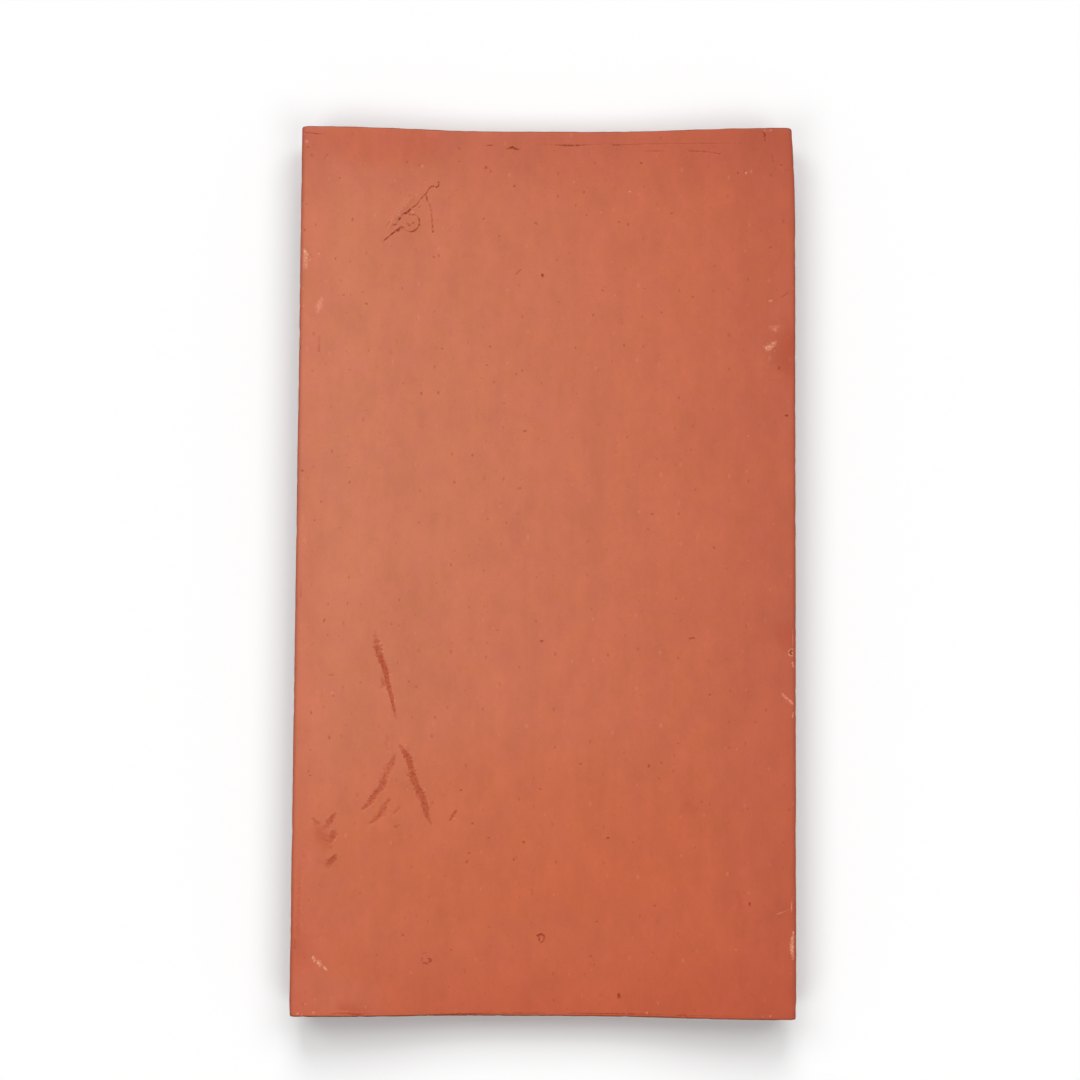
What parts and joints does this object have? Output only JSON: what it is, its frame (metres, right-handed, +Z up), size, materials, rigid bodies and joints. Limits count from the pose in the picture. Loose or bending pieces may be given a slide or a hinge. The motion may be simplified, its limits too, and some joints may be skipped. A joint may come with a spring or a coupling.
{
  "type": "clay roof tile",
  "caption": "Oblong unglazed clay roof tile with a flat bed along its middle, both long sides swept up into a shallow dish, and rounded edges. It sheds rain on a pitched roof.",
  "frame": {"origin": "middle of the bed's underside, on the surface that the tile lies on", "axes": "+Z up, square to the bed; +Y along the tile towards its head; +X across the tile"},
  "size_m": [0.202, 0.36, 0.0225],
  "materials": {
    "fired_clay": "matt unglazed fired clay, orange-red"
  },
  "bodies": {
    "root": {"tile": "fired_clay"}
  },
  "joints": []
}
